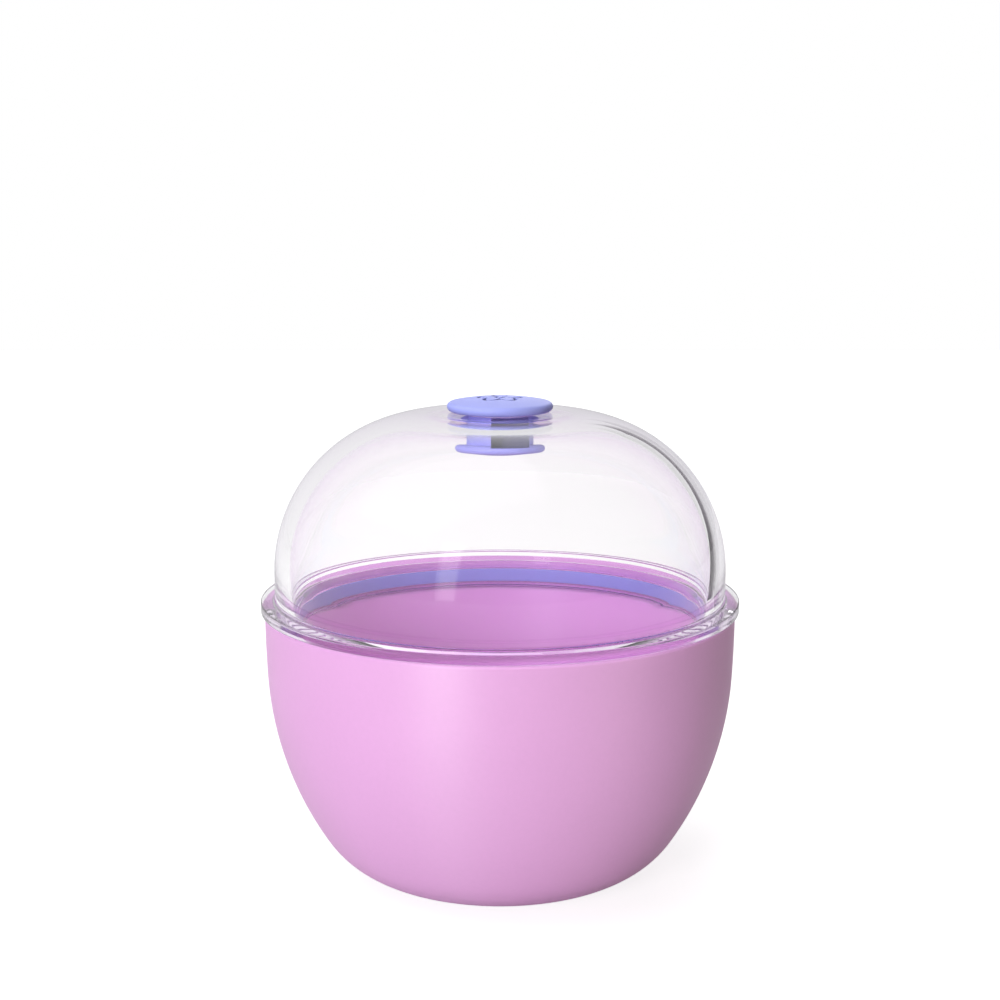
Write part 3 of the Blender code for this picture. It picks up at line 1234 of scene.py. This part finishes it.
@dataclass(frozen=True)
class Studio:
    """A pale floor, soft lamps and the camera."""

    camera_distance: float = 280.98 * MM
    camera_above_rim: float = 66.62 * MM
    camera_pitch: float = math.radians(10.15)
    lens: float = 68.4
    sensor: float = 36.0
    nearest: float = 0.01
    aim_height: float = 0.85
    bounces: int = 40
    floor_size: float = 1.6
    floor_tone: Colour = (0.5, 0.5, 0.5)
    floor_roughness: float = 0.9
    floor_glow: Backdrop = Backdrop(lit=0.0, seen=0.8, through=0.69, bare=0.3, reflected=0.6, overhead=0.6)
    surround: Backdrop = Backdrop(
        lit=0.05, seen=1.0, through=1.07, bare=0.55, reflected=0.95, overhead=0.92, lean=0.35
    )
    # Each lamp's name, azimuth, elevation, distance, width, height, power and what it lights.
    softboxes: tuple[Softbox, ...] = (
        Softbox("key_softbox", -26.6, 10.6, 1.22, 0.35, 0.5, 11.0, LitBy.DISH),
        Softbox("back_softbox", 170.0, 20.0, 1.2, 0.6, 0.6, 2.6, LitBy.DISH),
        Softbox("fill_softbox", 55.0, 6.0, 1.2, 0.6, 0.4, 2.2, LitBy.DISH, (1.0, 0.82, 0.66)),
        Softbox("top_softbox", -98.0, 70.0, 1.0, 1.25, 1.25, 9.6, LitBy.DISH),
        Softbox("lid_panel", -82.0, 70.5, 1.0, 0.93, 1.27, 1.4, LitBy.LID, (1.0, 0.88, 1.0), roll=12.5),
        Softbox("lid_strip", -26.6, 18.0, 1.3, 0.22, 0.9, 0.9, LitBy.LID),
    )

    def build(self, lid: Object) -> None:
        """Adds the floor, the flag, the world, the lamps and the camera.

        Args:
            lid: the clear lid, which has lamps of its own.
        """
        self.floor()
        Flag().build()
        self.world()
        centre = Vector((0.0, 0.0, self.aim_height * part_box("bowl")[1].z))
        for softbox in self.softboxes:
            softbox.build(centre, lid)
        self.camera()
        scene = bpy.context.scene
        scene.view_settings.view_transform = "Standard"
        scene.cycles.max_bounces = self.bounces
        scene.cycles.glossy_bounces = self.bounces
        scene.cycles.transmission_bounces = self.bounces

    def camera(self) -> None:
        """Adds the camera on the dish's front side, looking slightly down."""
        data = bpy.data.cameras.new("camera")
        data.lens = self.lens
        data.sensor_width = self.sensor
        data.clip_start = self.nearest
        camera = added("camera", data)
        camera.location = (0.0, -self.camera_distance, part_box("bowl")[1].z + self.camera_above_rim)
        camera.rotation_euler = (QUARTER - self.camera_pitch, 0.0, 0.0)
        bpy.context.scene.camera = camera

    def world(self) -> None:
        """Lights the dish a little from all round, and shows white wherever it is seen.

        In the dish's clear walls it also shows painted reflections of the dish's colours.
        """
        world = bpy.data.worlds.new("studio_world")
        bpy.context.scene.world = world
        world.use_nodes = True
        tree = world.node_tree
        glow = {"Color": self.surround.colour(tree), "Strength": self.surround.strength(tree)}
        fill(tree, tree.nodes["Background"], glow)

    def floor(self) -> None:
        """Adds the floor, pale and matt, which keeps the dish's shadow."""
        half = self.floor_size / 2
        mesh = bpy.data.meshes.new("floor")
        corners = [(-half, -half, 0.0), (half, -half, 0.0), (half, half, 0.0), (-half, half, 0.0)]
        mesh.from_pydata(corners, [], [(0, 1, 2, 3)])
        material, shader = new_material("floor_white")
        tree = material.node_tree
        inputs = {
            "Base Color": self.floor_tone,
            "Roughness": self.floor_roughness,
            "Specular IOR Level": 0.0,
            # The floor's glow carries the same painted reflections of the dish.
            "Emission Color": self.floor_glow.colour(tree),
            "Emission Strength": self.floor_glow.strength(tree),
        }
        fill(tree, shader, inputs)
        mesh.materials.append(material)
        added("floor", mesh)


def main() -> None:
    """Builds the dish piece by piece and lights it."""
    logging.basicConfig(level=logging.INFO, format="%(message)s")
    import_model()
    pink = MouldedFinish("bowl_pink", (0.80, 0.42, 0.765), 0.5, specular=0.75, anisotropic=0.75)
    clear = ClearAcrylic("dome_clear", (0.985, 0.985, 0.985))
    soft_ring = MouldedFinish("gasket_lavender", (0.42, 0.53, 0.97), 0.45, grain_depth=0.004 * MM)
    # The plug's notch and the blossom's lines get painted shade, down to a fifth of the colour's value.
    soft_plug = MouldedFinish(
        "silicone_lavender", (0.37, 0.41, 0.93), 0.55, grains=3600.0, grain_depth=0.01 * MM, painted_recess_shade=0.8
    )
    pieces = (
        Bowl().build(pink),
        DomeLid().build(clear),
        Gasket().build(soft_ring),
        VentPlug().build(soft_plug),
    )
    for piece in pieces:
        LOG.info("%s: %d faces", piece.name, len(piece.data.polygons))
    Studio().build(lid=pieces[1])


if __name__ == "__main__":
    main()
